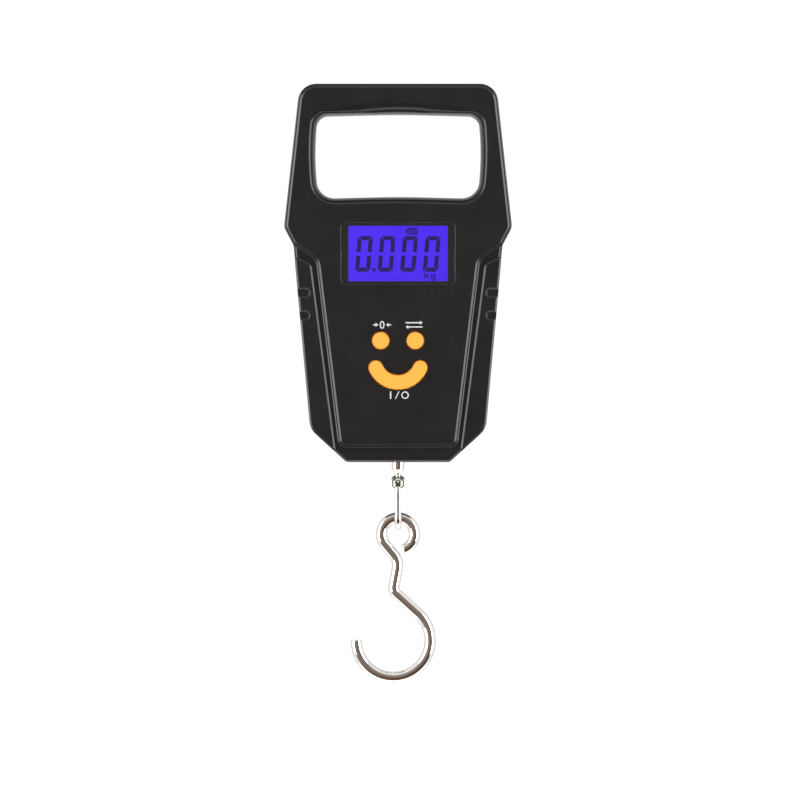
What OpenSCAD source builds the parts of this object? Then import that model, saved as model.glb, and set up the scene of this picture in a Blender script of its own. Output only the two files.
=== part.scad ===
// Hand-held hanging scale with a grip, a lit display, three keys and a hook.
// Millimetres. +Z is up, the display faces -Y. The origin is the middle of the
// grip's underside, where the fingers lift.

/* [Body] */
// Width across the shoulders
body_w = 80; // [78:0.5:86]
// Height of the body with its grip
body_h = 133.2; // [131:0.1:136]
// Depth from the raised panel to the back
body_d = 26; // [26:0.5:30]
// Thickness of the moulded walls
wall = 2.2; // [1.8:0.1:2.4]

/* [Grip opening] */
// Height of the grip bar over the opening
grip_t = 10.7; // [10:0.1:12]
// Width of the opening
opening_w = 58.6; // [56:0.2:59]
// Height of the opening
opening_h = 29.1; // [27:0.1:29.4]

/* [Display] */
// Width of the clear window
window_w = 39.6; // [39:0.1:41]
// Height of the clear window
window_h = 21.2; // [21:0.1:22]
// Width of the lit view
view_w = 35; // [33:0.5:36]
// Height of the lit view
view_h = 20.1; // [18:0.1:20.4]
// Height of the display's centre over the bottom of the body
display_z = 73.5; // [73:0.1:74]

/* [Keys] */
// Diameter of the two round keys
key_d = 6; // [5.4:0.1:6.4]
// Distance between the two round keys
key_gap = 12.14; // [11:0.02:13]
// Height of the round keys over the bottom of the body
key_z = 42.8; // [42:0.1:44]
// Radius of the curved key's centreline
bar_r = 8.5; // [8:0.1:9]
// Width of the curved key
bar_w = 5; // [4.4:0.1:5.2]
// Height of the curved key's centre over the bottom of the body
bar_z = 36.6; // [36:0.1:37]
// How far the keys stand out of the panel
key_proud = 1.1; // [0.6:0.1:1.6]
// How far a key travels
key_travel = 0.5; // [0.3:0.1:0.6]

/* [Hook and link] */
// Diameter of the hook's wire
hook_wire = 4; // [3.6:0.1:4.2]
// Radius of the hook's bowl, to the wire's centre
bowl_r = 13; // [12:0.2:14]
// Radius of the hook's ring, to the wire's centre
ring_r = 5.8; // [5.6:0.1:6.2]
// Diameter of the link's wire
link_wire = 2.2; // [2:0.1:2.2]
// Diameter of the swivel's shaft
shaft_d = 4.5; // [4.2:0.1:4.6]

/* [Hidden] */
$fn = 48;

// Heights are measured from the bottom of the body; base_z puts that bottom
// in place under the origin.
base_z = grip_t - body_h;
opening_top = body_h - grip_t;
opening_bottom = opening_top - opening_h;

// Depths, from the front to the back
front_y = -body_d / 2;
back_y = body_d / 2;
groove_y = front_y + 2;
pad_y = front_y + 0.9;
panel_inner_y = front_y + wall;
low_inner_y = groove_y + wall;
back_inner_y = back_y - wall;

// Display stack
window_t = 1;
window_front_y = front_y + 0.3;
window_back_y = window_front_y + window_t;
glass_front_y = panel_inner_y + 0.1;
glass_t = 1.8;
glass_back_y = glass_front_y + glass_t;
glass_w = 39;
glass_h = 25.4;
glass_z = display_z - 1;
guide_w = 37;
guide_h = 22;
guide_z = display_z + 0.1;
guide_back_y = glass_back_y + 2.3;
frame_w = 43;
frame_h = 29;

// Circuit board
board_front_y = guide_back_y + 0.1;
board_t = 1.6;
board_back_y = board_front_y + board_t;
board_w = 46;
board_low = 24;
board_high = 88;
board_screw_x = 20.4;
board_screw_zs = [27, 54.6];
board_pilot_r = 0.9;

// Keys and their switches
key_clear = 0.35;
flange_t = 0.8;
flange_front_y = panel_inner_y + 0.05;
flange_back_y = flange_front_y + flange_t;
flange_out = 0.9;
switch_w = 6;
switch_front_y = flange_back_y + key_travel + 0.1;
stem_d = 3.4;
stem_clear = 0.1;
stem_depth = 1.3;
bar_angle = 67;

// Case screws: grip, shoulders and bottom
screw_places = [[22, body_h - 5.35], [31, 86.4], [22.4, 12.6]];
post_r = 3.1;
screw_r = 1.2;
screw_pilot_r = 1.25;
screw_head_r = 2.3;
screw_head_t = 1.8;
screw_well_r = 2.6;
screw_well_depth = 3;

// Load cell
cell_w = 34;
cell_t = 8;
cell_low = 7;
arm_h = 7;
nut_slot_h = 6.5;
beam_h = 9;
top_slot_h = 1.5;
cell_arm_z = cell_low + arm_h + nut_slot_h + beam_h + top_slot_h + arm_h / 2;
cell_screw_x = 11;
cell_screw_r = 1.5;
cell_head_r = 2.75;
cell_head_t = 2.2;

// Swivel, link and hook
eye_ring_r = 2;
eye_wire_r = 0.75;
eye_z = -7.15;
hang_gap = 0.15;
link_r = link_wire / 2;
link_half_y = hook_wire / 2 + 0.3 + link_r;
link_top_z = eye_z - eye_ring_r + eye_wire_r + link_r + hang_gap;
ring_z = -25.4;
link_bottom_z = ring_z + ring_r - hook_wire / 2 - link_r - hang_gap;
bowl_x = -1.7;
bowl_z = -62.9;
nut_r = 3.9;
nut_h = 3.2;
washer_h = 0.6;

// Batteries: two AAA cells lying across the body
cell_d = 10.4;
cell_len = 44.5;
nub_len = 0.8;
cell_pitch = 11;
bay_z = 63.5;
bay_y = 5.4;
bay_half_w = 25.6;
bay_half_h = 11.5;
bay_wall = 2.8;
bay_floor_y = -0.2;
contact_t = 0.3;

// Battery door, which tilts about the top edge of its opening
door_half_w = 26.6;
door_gap = 0.25;
door_low = bay_z - bay_half_h - 1.4;
door_high = bay_z + bay_half_h + 1.4;
door_t = 1.9;
tongue_xs = [-15, 15];
tongue_w = 7;

// ---- Outlines ----

function unit(v) = v / norm(v);

// Arc that rounds the corner p of a path coming from a and leaving to b.
// Each is [x, z, radius].
function corner_arc(a, p, b, steps) =
  let(
    at = [p.x, p.y],
    u = unit([a.x, a.y] - at),
    v = unit([b.x, b.y] - at),
    half = acos(u * v) / 2,
    centre = at + unit(u + v) * p.z / sin(half),
    from = at + u * p.z / tan(half) - centre,
    to = at + v * p.z / tan(half) - centre,
    a0 = atan2(from.y, from.x),
    turn = atan2(to.y, to.x) - a0,
    sweep = turn > 180 ? turn - 360 : (turn < -180 ? turn + 360 : turn)
  )
  [for (i = [0:steps]) centre + p.z * [cos(a0 + sweep * i / steps), sin(a0 + sweep * i / steps)]];

// A closed outline with every corner rounded to its own radius
function rounded(corners, steps = 8) =
  let(n = len(corners))
  [for (i = [0:n - 1])
    each corner_arc(corners[(i + n - 1) % n], corners[i], corners[(i + 1) % n], steps)];

// A right-hand half and its mirror image, as one closed list of corners
function both_sides(half) =
  concat(half, [for (i = [len(half) - 1:-1:0]) [-half[i].x, half[i].y, half[i].z]]);

// Half widths at the body's corners
top_x = body_w / 2 - 5.4;
shoulder_x = body_w / 2 + 0.15;
waist_x = body_w / 2 - 3.2;
hip_x = body_w / 2 - 9.05;
foot_x = body_w / 2 - 21.8;
shoulder_z = 82.7;
waist_z = 76.4;
hip_z = 11.7;

body_corners = both_sides([
  [foot_x, 0, 2],
  [hip_x, hip_z, 7],
  [waist_x, waist_z, 4],
  [shoulder_x, shoulder_z, 4],
  [top_x, body_h, 6.5]
]);

// The opening's top and bottom edges both arch up a little in the middle
opening_half = [
  [opening_w / 2 - 1.1, opening_bottom - 0.6, 6.3],
  [opening_w / 2 + 0.15, opening_top - 13.5, 100],
  [opening_w / 2 - 0.9, opening_top - 0.6, 4.2]
];
opening_corners = concat(
  [[0, opening_bottom + 0.1, 300]],
  opening_half,
  [[0, opening_top + 0.1, 300]],
  [for (i = [len(opening_half) - 1:-1:0]) [-opening_half[i].x, opening_half[i].y, opening_half[i].z]]
);

// Panel edge: a straight flank, then a diagonal to the waist
flank_low_x = 20.9;
flank_high_x = 28.85;
flank_low_z = 5.1;
flank_high_z = 70.8;
panel_corners = both_sides([
  [flank_low_x, flank_low_z, 1],
  [flank_high_x, flank_high_z, 4],
  [flank_high_x + 20, flank_high_z + 14.2, 1],
  [flank_high_x + 20, body_h + 10, 1]
]);

pad_corners = [
  [21.55, 1.2, 0.6],
  [30.5, 69.7, 2.5],
  [60, 85.4, 1],
  [60, -20, 1],
  [21.55, -20, 1]
];

module body_outline(inset = 0) {
  offset(delta = -inset) polygon(rounded(body_corners));
}

module opening_outline(grow = 0) {
  offset(delta = grow) polygon(rounded(opening_corners));
}

module panel_outline(inset = 0) {
  intersection() {
    body_outline(inset);
    offset(delta = -inset) polygon(rounded(panel_corners));
  }
}

module pad_outline(inset = 0) {
  for (side = [0, 1])
    mirror([side, 0])
      intersection() {
        body_outline(inset);
        offset(delta = -inset) polygon(rounded(pad_corners));
      }
}

// ---- Building helpers ----

// Everything inside is placed from the bottom of the body
module from_base() {
  translate([0, 0, base_z]) children();
}

// A flat outline in X and Z, thickened from y0 back to y1
module slab(y0, y1) {
  translate([0, y1, 0]) rotate([90, 0, 0]) linear_extrude(y1 - y0) children();
}

// A round bar along Y
module post(x, z, r, y0, y1) {
  translate([x, y0, z]) rotate([-90, 0, 0]) cylinder(h = y1 - y0, r = r);
}

// A block given by its middle in X and Z, and its front and back
module block(x, z, w, h, y0, y1) {
  translate([x - w / 2, y0, z - h / 2]) cube([w, y1 - y0, h]);
}

module both() {
  children();
  mirror([1, 0, 0]) children();
}

// Ring of points round a path point, square to the path's direction
function tube_ring(at, along, up, r, sides) =
  let(
    across = unit(cross(along, up)),
    over = unit(cross(across, along))
  )
  [for (i = [0:sides - 1]) at + r * (cos(360 * i / sides) * across + sin(360 * i / sides) * over)];

// A round wire of radius r along a path; up is never parallel to the path
module wire(path, r, sides, up, closed = false) {
  n = len(path);
  rings = [for (i = [0:n - 1])
    let(
      before = closed ? path[(i + n - 1) % n] : path[max(i - 1, 0)],
      after = closed ? path[(i + 1) % n] : path[min(i + 1, n - 1)]
    )
    each tube_ring(path[i], unit(after - before), up, r, sides)];
  spans = closed ? n : n - 1;
  skin = [for (i = [0:spans - 1]) for (j = [0:sides - 1])
    let(
      k = (j + 1) % sides,
      next = (i + 1) % n
    )
    [i * sides + j, next * sides + j, next * sides + k, i * sides + k]];
  caps = closed ? [] : [
    [for (j = [0:sides - 1]) j],
    [for (j = [sides - 1:-1:0]) (n - 1) * sides + j]
  ];
  polyhedron(rings, concat(skin, caps), convexity = 6);
}

// ---- Covers ----

// Hollow left between the outer wall and the wall round the opening
module cover_hollow() {
  difference() {
    body_outline(wall);
    opening_outline(wall);
  }
}

function arc(centre, r, a0, a1, steps) =
  [for (i = [0:steps]) let(a = a0 + (a1 - a0) * i / steps) centre + r * [cos(a), sin(a)]];

// Curved key outline with round ends, grown by some amount
module bar_outline(grow = 0) {
  half_w = bar_w / 2 + grow;
  low = -90 - bar_angle;
  high = -90 + bar_angle;
  centre = [0, bar_z];
  polygon(concat(
    arc(centre, bar_r + half_w, low, high, 24),
    arc(centre + bar_r * [cos(high), sin(high)], half_w, high + 15, high + 165, 10),
    arc(centre, bar_r - half_w, high, low, 18),
    arc(centre + bar_r * [cos(low), sin(low)], half_w, low + 195, low + 345, 10)
  ));
}

// Short recess open to the side, for a fingertip
module side_notch(z) {
  slab(pad_y - 1, pad_y + 0.9)
    union() {
      translate([32.6, z]) circle(d = 2.5);
      translate([32.6, z - 1.25]) square([12, 2.5]);
    }
}

module front_cover() {
  color([0.15, 0.15, 0.155]) from_base() difference() {
    union() {
      difference() {
        union() {
          slab(groove_y + 1.6, 0) body_outline();
          slab(groove_y + 0.5, groove_y + 1.6) body_outline(0.5);
          slab(groove_y, groove_y + 0.5) body_outline(1.3);
          slab(pad_y, groove_y + 0.5) pad_outline(1);
          slab(front_y + 0.6, groove_y + 0.5) panel_outline(0.7);
          slab(front_y, front_y + 0.6) panel_outline(1.4);
        }
        slab(low_inner_y, 1) cover_hollow();
        slab(panel_inner_y, 0) difference() {
          panel_outline(wall + 1.4);
          opening_outline(wall + 1);
        }
      }
      for (place = screw_places)
        both() post(place.x, place.y, post_r, groove_y + 0.1, 0);
      for (z = board_screw_zs)
        both() post(board_screw_x, z, 2.2, panel_inner_y - 0.5, board_front_y);
    }
    // Grip opening, flared towards the front
    slab(front_y - 1, 1) opening_outline();
    slab(front_y - 1, front_y + 1.2) opening_outline(1.6);
    slab(front_y - 1, front_y + 2.6) opening_outline(0.7);
    // Window seat and the view through it
    block(0, display_z, window_w + 0.2, window_h + 0.2, front_y - 1, window_back_y);
    block(0, display_z - 0.05, view_w, view_h, front_y - 1, 0);
    // Key holes
    both() post(key_gap / 2, key_z, key_d / 2 + key_clear, front_y - 1, -2);
    slab(front_y - 1, -2) bar_outline(key_clear);
    // Screw pilots
    for (place = screw_places)
      both() post(place.x, place.y, screw_pilot_r, low_inner_y + 0.6, 1);
    for (z = board_screw_zs)
      both() post(board_screw_x, z, board_pilot_r, panel_inner_y + 0.3, 1);
    // Shaft hole in the bottom wall, half of it in each cover
    translate([0, 0, -1]) cylinder(h = wall + 2, d = shaft_d + 0.9);
    // Fingertip notches in the side pads
    for (z = [59.6, 51.6])
      both() side_notch(z);
  }
}

// Rim of the rear cover that stands inside the front cover's wall, and its root
module locating_rim() {
  for (ring = [[-1.5, 2, wall + 0.1], [0.2, 2, wall - 0.2]])
    slab(ring[0], ring[1]) difference() {
      body_outline(ring[2]);
      body_outline(wall + 1);
      opening_outline(wall + 3);
      square([16, 12], center = true);
      for (place = screw_places)
        for (side = [-1, 1])
          translate([side * place.x, place.y]) circle(r = post_r + 0.4);
    }
}

module rear_cover() {
  color([0.14, 0.14, 0.145]) from_base() difference() {
    union() {
      difference() {
        union() {
          slab(0, back_y - 2.4) body_outline();
          slab(back_y - 2.4, back_y - 1) body_outline(0.6);
          slab(back_y - 1, back_y - 0.3) body_outline(1.6);
          slab(back_y - 0.3, back_y) body_outline(2.4);
        }
        slab(-1, back_inner_y) cover_hollow();
      }
      locating_rim();
      for (place = screw_places)
        both() post(place.x, place.y, post_r, 0, back_inner_y + 0.5);
      // Battery bay
      block(0, bay_z, 2 * (bay_half_w + bay_wall), 2 * (bay_half_h + bay_wall),
            bay_floor_y - 1.2, back_inner_y + 0.5);
      // Posts that carry the load cell
      both() post(cell_screw_x, cell_arm_z, 3.4, cell_t / 2, back_inner_y + 0.5);
    }
    slab(-1, back_y + 1) opening_outline();
    slab(back_y - 1.2, back_y + 1) opening_outline(1.6);
    slab(back_y - 2.6, back_y + 1) opening_outline(0.7);
    // Inside of the bay, the door's opening and the tongue pockets
    block(0, bay_z, 2 * bay_half_w, 2 * bay_half_h, bay_floor_y, back_y + 1);
    block(0, (door_low + door_high) / 2, 2 * (door_half_w + door_gap),
          door_high - door_low + 2 * door_gap, back_y - door_t - 0.1, back_y + 1);
    for (x = tongue_xs) {
      block(x, door_high, tongue_w + 0.6, 4.4, back_y - 4.3, back_inner_y);
      block(x, door_high + door_gap - 1.2, tongue_w + 0.6, 2.4, back_y - 4.3, back_y - door_t);
    }
    // Thumb recess under the door
    translate([0, back_y + 5.4, door_low - 2.5]) rotate([0, 90, 0]) cylinder(h = 12, r = 6.4, center = true);
    // Slots for the contact tabs
    for (z = [bay_z - cell_pitch / 2, bay_z + cell_pitch / 2])
      block(-bay_half_w + contact_t / 2, z, contact_t + 0.1, 2.6, -2, 1);
    // Screw wells and holes
    for (place = screw_places)
      both() {
        post(place.x, place.y, screw_pilot_r, -1, back_y);
        post(place.x, place.y, screw_well_r, back_y - screw_well_depth, back_y + 1);
      }
    both() post(cell_screw_x, cell_arm_z, cell_screw_r + 0.05, cell_t / 2 - 1, back_inner_y - 0.4);
    translate([0, 0, -1]) cylinder(h = wall + 2, d = shaft_d + 0.9);
  }
}

// ---- Display ----

module display_window() {
  color([0.75, 0.78, 0.85, 0.4]) from_base()
    block(0, display_z, window_w, window_h, window_front_y, window_back_y);
}

module lcd_panel() {
  color([0.3, 0.2, 0.95]) from_base()
    block(0, glass_z, glass_w, glass_h, glass_front_y, glass_back_y);
}

module backlight() {
  color([0.9, 0.92, 1]) from_base()
    block(0, guide_z, guide_w, guide_h, glass_back_y + 0.05, guide_back_y);
}

module zebra_strip() {
  color([0.85, 0.45, 0.6]) from_base()
    block(0, glass_z - glass_h / 2 + 1.1, 33, 1.6, glass_back_y + 0.02, board_front_y - 0.02);
}

pin_places = [[20.6, 61.5], [20.6, 84.5]];

module display_frame() {
  color([0.92, 0.92, 0.9]) from_base() {
    difference() {
      block(0, glass_z, frame_w, frame_h, glass_front_y, board_front_y - 0.05);
      block(0, glass_z, glass_w + 0.2, glass_h + 0.2, glass_front_y - 1, board_front_y + 1);
    }
    for (place = pin_places)
      both() post(place.x, place.y, 0.7, board_front_y - 0.3, board_back_y + 0.4);
  }
}

// ---- Electronics ----

module circuit_board() {
  color([0.1, 0.42, 0.2]) from_base() difference() {
    block(0, (board_low + board_high) / 2, board_w, board_high - board_low, board_front_y, board_back_y);
    for (z = board_screw_zs)
      both() post(board_screw_x, z, 1.15, board_front_y - 1, board_back_y + 1);
    for (place = pin_places)
      both() post(place.x, place.y, 0.78, board_front_y - 1, board_back_y + 1);
  }
}

module controller_chip() {
  color([0.05, 0.05, 0.05]) from_base()
    translate([0, board_back_y, 82.2]) rotate([-90, 0, 0]) {
      cylinder(h = 0.9, r = 5);
      translate([0, 0, 0.9]) cylinder(h = 0.6, r1 = 5, r2 = 3.4);
    }
}

module board_parts() {
  color([0.75, 0.62, 0.4]) from_base() {
    for (i = [0:4])
      block(-9 + i * 4.5, 44.5, 2, 1.2, board_back_y, board_back_y + 0.9);
    for (x = [-14, 14])
      block(x, 82, 3.2, 6, board_back_y, board_back_y + 1.6);
    post(16, 45, 2, board_back_y, board_back_y + 1.9);
  }
}

key_centres = [[-key_gap / 2, key_z], [key_gap / 2, key_z], [0, bar_z - bar_r]];

module tact_switches() {
  color([0.2, 0.2, 0.2]) from_base()
    for (c = key_centres)
      difference() {
        block(c.x, c.y, switch_w, switch_w, switch_front_y, board_front_y);
        post(c.x, c.y, stem_d / 2 + stem_clear, switch_front_y - 1, switch_front_y + stem_depth + key_travel + 0.1);
      }
}

// Moving stem of a switch, touching the back of its key
module plunger(c) {
  color([0.85, 0.82, 0.75]) from_base()
    post(c.x, c.y, stem_d / 2, flange_back_y, switch_front_y + stem_depth);
}

module zero_plunger() plunger(key_centres[0]);

module unit_plunger() plunger(key_centres[1]);

module power_plunger() plunger(key_centres[2]);

// ---- Keys ----

module round_key(c) {
  color([0.97, 0.62, 0.16]) from_base() {
    post(c.x, c.y, key_d / 2, front_y - key_proud + 0.4, flange_front_y);
    translate([c.x, front_y - key_proud, c.y]) rotate([-90, 0, 0])
      cylinder(h = 0.4, r1 = key_d / 2 - 0.4, r2 = key_d / 2);
    post(c.x, c.y, key_d / 2 + flange_out, flange_front_y, flange_back_y);
  }
}

module zero_button() round_key(key_centres[0]);

module unit_button() round_key(key_centres[1]);

module power_button() {
  color([0.97, 0.62, 0.16]) from_base() {
    slab(front_y - key_proud, front_y - key_proud + 0.4) bar_outline(-0.3);
    slab(front_y - key_proud + 0.4, flange_front_y) bar_outline();
    slab(flange_front_y, flange_back_y) bar_outline(flange_out);
  }
}

// ---- Screws ----

// Pan-head screw along Y, its tip at the front and its head behind
module screw(x, z, r, tip_y, under_head_y, head_r, head_t) {
  difference() {
    union() {
      post(x, z, r, tip_y, under_head_y);
      post(x, z, head_r, under_head_y, under_head_y + head_t);
    }
    block(x, z, head_r * 1.3, 0.5, under_head_y + head_t - 0.6, under_head_y + head_t + 1);
    block(x, z, 0.5, head_r * 1.3, under_head_y + head_t - 0.6, under_head_y + head_t + 1);
  }
}

module board_screws() {
  color([0.75, 0.75, 0.77]) from_base()
    for (z = board_screw_zs)
      both() screw(board_screw_x, z, 0.85, panel_inner_y + 0.8, board_back_y, 1.7, 1);
}

module case_screws() {
  color([0.7, 0.7, 0.72]) from_base()
    for (place = screw_places)
      both() screw(place.x, place.y, screw_r, low_inner_y + 1.4,
                   back_y - screw_well_depth, screw_head_r, screw_head_t);
}

module load_cell_screws() {
  color([0.72, 0.72, 0.74]) from_base()
    both() mirror([0, 1, 0])
      screw(cell_screw_x, cell_arm_z, cell_screw_r, -back_inner_y + 1, cell_t / 2 - cell_head_t - 0.1,
            cell_head_r, cell_head_t);
}

// ---- Load cell ----

module load_cell() {
  slot_z = cell_low + arm_h;
  beam_z = slot_z + nut_slot_h;
  top_slot_z = beam_z + beam_h;
  cell_h = top_slot_z + top_slot_h + arm_h - cell_low;
  color([0.78, 0.79, 0.8]) from_base() difference() {
    block(0, cell_low + cell_h / 2, cell_w, cell_h, -cell_t / 2, cell_t / 2);
    // Lower slot, open to the right; upper slot, open to the left
    block(5, slot_z + nut_slot_h / 2, cell_w, nut_slot_h, -cell_t, cell_t);
    block(-5, top_slot_z + top_slot_h / 2, cell_w, top_slot_h, -cell_t, cell_t);
    // Two joined holes that make the beam bend where the gauges sit
    for (x = [-5, 5])
      post(x, beam_z + beam_h / 2, 3.1, -cell_t, cell_t);
    block(0, beam_z + beam_h / 2, 10, 2, -cell_t, cell_t);
    // Swivel hole
    translate([0, 0, cell_low - 1]) cylinder(h = arm_h + 2, d = shaft_d + 0.14);
    // Mounting holes with room for the screw heads
    both() {
      post(cell_screw_x, cell_arm_z, cell_screw_r + 0.1, -cell_t, cell_t);
      post(cell_screw_x, cell_arm_z, cell_head_r + 0.25, -cell_t, -cell_t / 2 + cell_head_t + 0.1);
    }
  }
}

gauge_z = cell_low + arm_h + nut_slot_h + beam_h / 2;

module gauge_potting() {
  color([0.95, 0.95, 0.93]) from_base()
    block(0, gauge_z, 18, 7, cell_t / 2, cell_t / 2 + 1.2);
}

// ---- Swivel, link and hook ----

module swivel_eye() {
  shaft_top = cell_low + arm_h + washer_h + nut_h + 0.8;
  neck_z = eye_z + eye_ring_r;
  color([0.8, 0.8, 0.82]) from_base() {
    translate([0, 0, neck_z]) cylinder(h = shaft_top - neck_z, d = shaft_d);
    translate([0, 0, eye_z]) rotate([90, 0, 0]) rotate_extrude()
      translate([eye_ring_r, 0]) circle(r = eye_wire_r);
    // Collar that bears on the underside of the load cell
    translate([0, 0, cell_low - 1.6]) cylinder(h = 1.55, r = 3.6);
  }
}

module swivel_washer() {
  color([0.78, 0.78, 0.8]) from_base()
    translate([0, 0, cell_low + arm_h + 0.02]) difference() {
      cylinder(h = washer_h, r = 3.95);
      translate([0, 0, -1]) cylinder(h = washer_h + 2, r = shaft_d / 2 + 0.05);
    }
}

module swivel_nut() {
  color([0.74, 0.74, 0.76]) from_base()
    translate([0, 0, cell_low + arm_h + 0.02 + washer_h]) difference() {
      cylinder(h = nut_h, r = nut_r, $fn = 6);
      translate([0, 0, -1]) cylinder(h = nut_h + 2, r = shaft_d / 2 + 0.03);
    }
}

// Half circle of the link about a centre in Y and Z
function link_bend(z, a0) =
  [for (i = [0:10]) [0, link_half_y * cos(a0 + 18 * i), z + link_half_y * sin(a0 + 18 * i)]];

module link() {
  color([0.8, 0.8, 0.82]) from_base()
    wire(concat(link_bend(link_top_z - link_half_y, 0),
                link_bend(link_bottom_z + link_half_y, 180)),
         link_r, 14, [1, 0, 0], closed = true);
}

// Hook: ring, offset shank and bowl, all in the plane of X and Z
ring_end_angle = -72;
ring_leave_angle = 218;
bowl_start_angle = 52;
bowl_end_angle = -181;

function on_circle(x, z, r, a) = [x + r * cos(a), z + r * sin(a)];

function sweep_points(x, z, r, a0, a1, steps) =
  [for (i = [0:steps]) on_circle(x, z, r, a0 + (a1 - a0) * i / steps)];

ring_leave = on_circle(0, ring_z, ring_r, ring_leave_angle);
bowl_start = on_circle(bowl_x, bowl_z, bowl_r, bowl_start_angle);
shank_high = [0.25, -34.8, 3.4];
shank_low = [-1.7, -45.4, 3.2];

hook_path = concat(
  sweep_points(0, ring_z, ring_r, ring_end_angle, ring_leave_angle, 30),
  corner_arc(ring_leave, shank_high, shank_low, 8),
  corner_arc(shank_high, shank_low, bowl_start, 8),
  sweep_points(bowl_x, bowl_z, bowl_r, bowl_start_angle, bowl_end_angle, 30)
);

module hook() {
  color([0.82, 0.82, 0.84]) from_base()
    wire([for (p = hook_path) [p.x, 0, p.y]], hook_wire / 2, 16, [0, 1, 0]);
}

// ---- Batteries ----

// The upper cell points left and the lower one right
cell_zs = [bay_z + cell_pitch / 2, bay_z - cell_pitch / 2];
nub_x = bay_half_w - contact_t;

module battery(z) {
  from_base() translate([nub_x, bay_y, z]) rotate([0, -90, 0]) {
    cylinder(h = nub_len, r = 1.9);
    translate([0, 0, nub_len]) cylinder(h = cell_len - nub_len, d = cell_d);
  }
}

module battery_upper() {
  color([0.2, 0.35, 0.6]) mirror([1, 0, 0]) battery(cell_zs[0]);
}

module battery_lower() {
  color([0.2, 0.35, 0.6]) battery(cell_zs[1]);
}

// Conical spring from its plate to the flat end of a cell
spring_len = 2 * bay_half_w - 2 * contact_t - cell_len;
spring_turns = 4;
spring_wire_r = 0.35;

function spring_path(z) =
  [for (i = [0:16 * spring_turns])
    let(
      t = i / (16 * spring_turns),
      r = 3.6 - 1.6 * t,
      a = 360 * spring_turns * t
    )
    [-bay_half_w + contact_t + spring_wire_r + t * (spring_len - 2 * spring_wire_r - 0.1),
     bay_y + r * cos(a), z + r * sin(a)]];

module battery_springs() {
  color([0.8, 0.78, 0.72]) from_base() {
    wire(spring_path(cell_zs[1]), spring_wire_r, 6, [1, 0, 0]);
    mirror([1, 0, 0]) wire(spring_path(cell_zs[0]), spring_wire_r, 6, [1, 0, 0]);
  }
}

// Two plates with tabs at the left and one bridge at the right
module battery_contacts() {
  x = bay_half_w - contact_t / 2;
  color([0.82, 0.8, 0.74]) from_base() {
    for (z = cell_zs) {
      block(-x, z, contact_t, 9, bay_floor_y + 0.1, 9);
      block(-x, z, contact_t, 2.2, bay_floor_y - 2.4, bay_floor_y + 0.1);
    }
    block(x, bay_z, contact_t, 20, bay_floor_y + 0.1, 9);
  }
}

module battery_cover() {
  door_mid = (door_low + door_high) / 2;
  color([0.14, 0.14, 0.145]) from_base() difference() {
    union() {
      block(0, door_mid, 2 * door_half_w, door_high - door_low, back_y - door_t, back_y);
      for (x = tongue_xs) {
        block(x, door_high - 0.9, tongue_w, 1.6, back_y - door_t - 1.4, back_y - door_t);
        block(x, door_high + 0.1, tongue_w, 2.8, back_y - 3.4, back_inner_y - 0.1);
      }
    }
    // Grip ribs for the thumb
    for (i = [0:4])
      block(0, door_low + 4 + 2 * i, 14, 0.8, back_y - 0.5, back_y + 1);
  }
}

// ---- Wires ----

sensor_routes = [for (i = [0:3])
  [[-4 + 2.4 * i, cell_t / 2 + 1.2, gauge_z + 1.8],
   [-4 + 2.4 * i, cell_t / 2 + 1.8, gauge_z + 1.8],
   [-4 + 2.4 * i, cell_t / 2 + 2.4, gauge_z + 3],
   [-5 + 2.2 * i, cell_t / 2 + 2.6, gauge_z + 10],
   [-6 + 2 * i, 4.4, 41.6],
   [-6 + 2 * i, 1.4, 42.6],
   [-6 + 2 * i, -2, 42],
   [-6 + 2 * i, -3.8, 41.4],
   [-6 + 2 * i, board_back_y, 41.4]]];

module sensor_wires() {
  color([0.85, 0.2, 0.15]) from_base()
    for (route = sensor_routes)
      wire(route, 0.4, 8, [1, 0, 0]);
}

battery_routes = [for (z = cell_zs)
  [[-25.45, -2.6, z],
   [-25.4, -3.4, z],
   [-24.6, -4.1, z],
   [-23.4, -4.1, z],
   [-22, board_back_y + 0.42, z],
   [-20.4, board_back_y + 0.42, z]]];

module battery_wires() {
  color([0.1, 0.1, 0.1]) from_base()
    for (route = battery_routes)
      wire(route, 0.4, 8, [0, 0, 1]);
}

front_cover();
rear_cover();
display_window();
lcd_panel();
backlight();
display_frame();
zebra_strip();
circuit_board();
controller_chip();
board_parts();
tact_switches();
zero_button();
zero_plunger();
unit_button();
unit_plunger();
power_button();
power_plunger();
board_screws();
case_screws();
load_cell();
load_cell_screws();
gauge_potting();
sensor_wires();
swivel_eye();
swivel_washer();
swivel_nut();
link();
hook();
battery_cover();
battery_upper();
battery_lower();
battery_springs();
battery_contacts();
battery_wires();
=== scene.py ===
"""Looks of the digital hanging scale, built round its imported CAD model.

Lengths are millimetres until a mesh is made. x is across, y is depth with the display at -y,
and heights are measured up from the bottom of the body.
"""

import math

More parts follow.
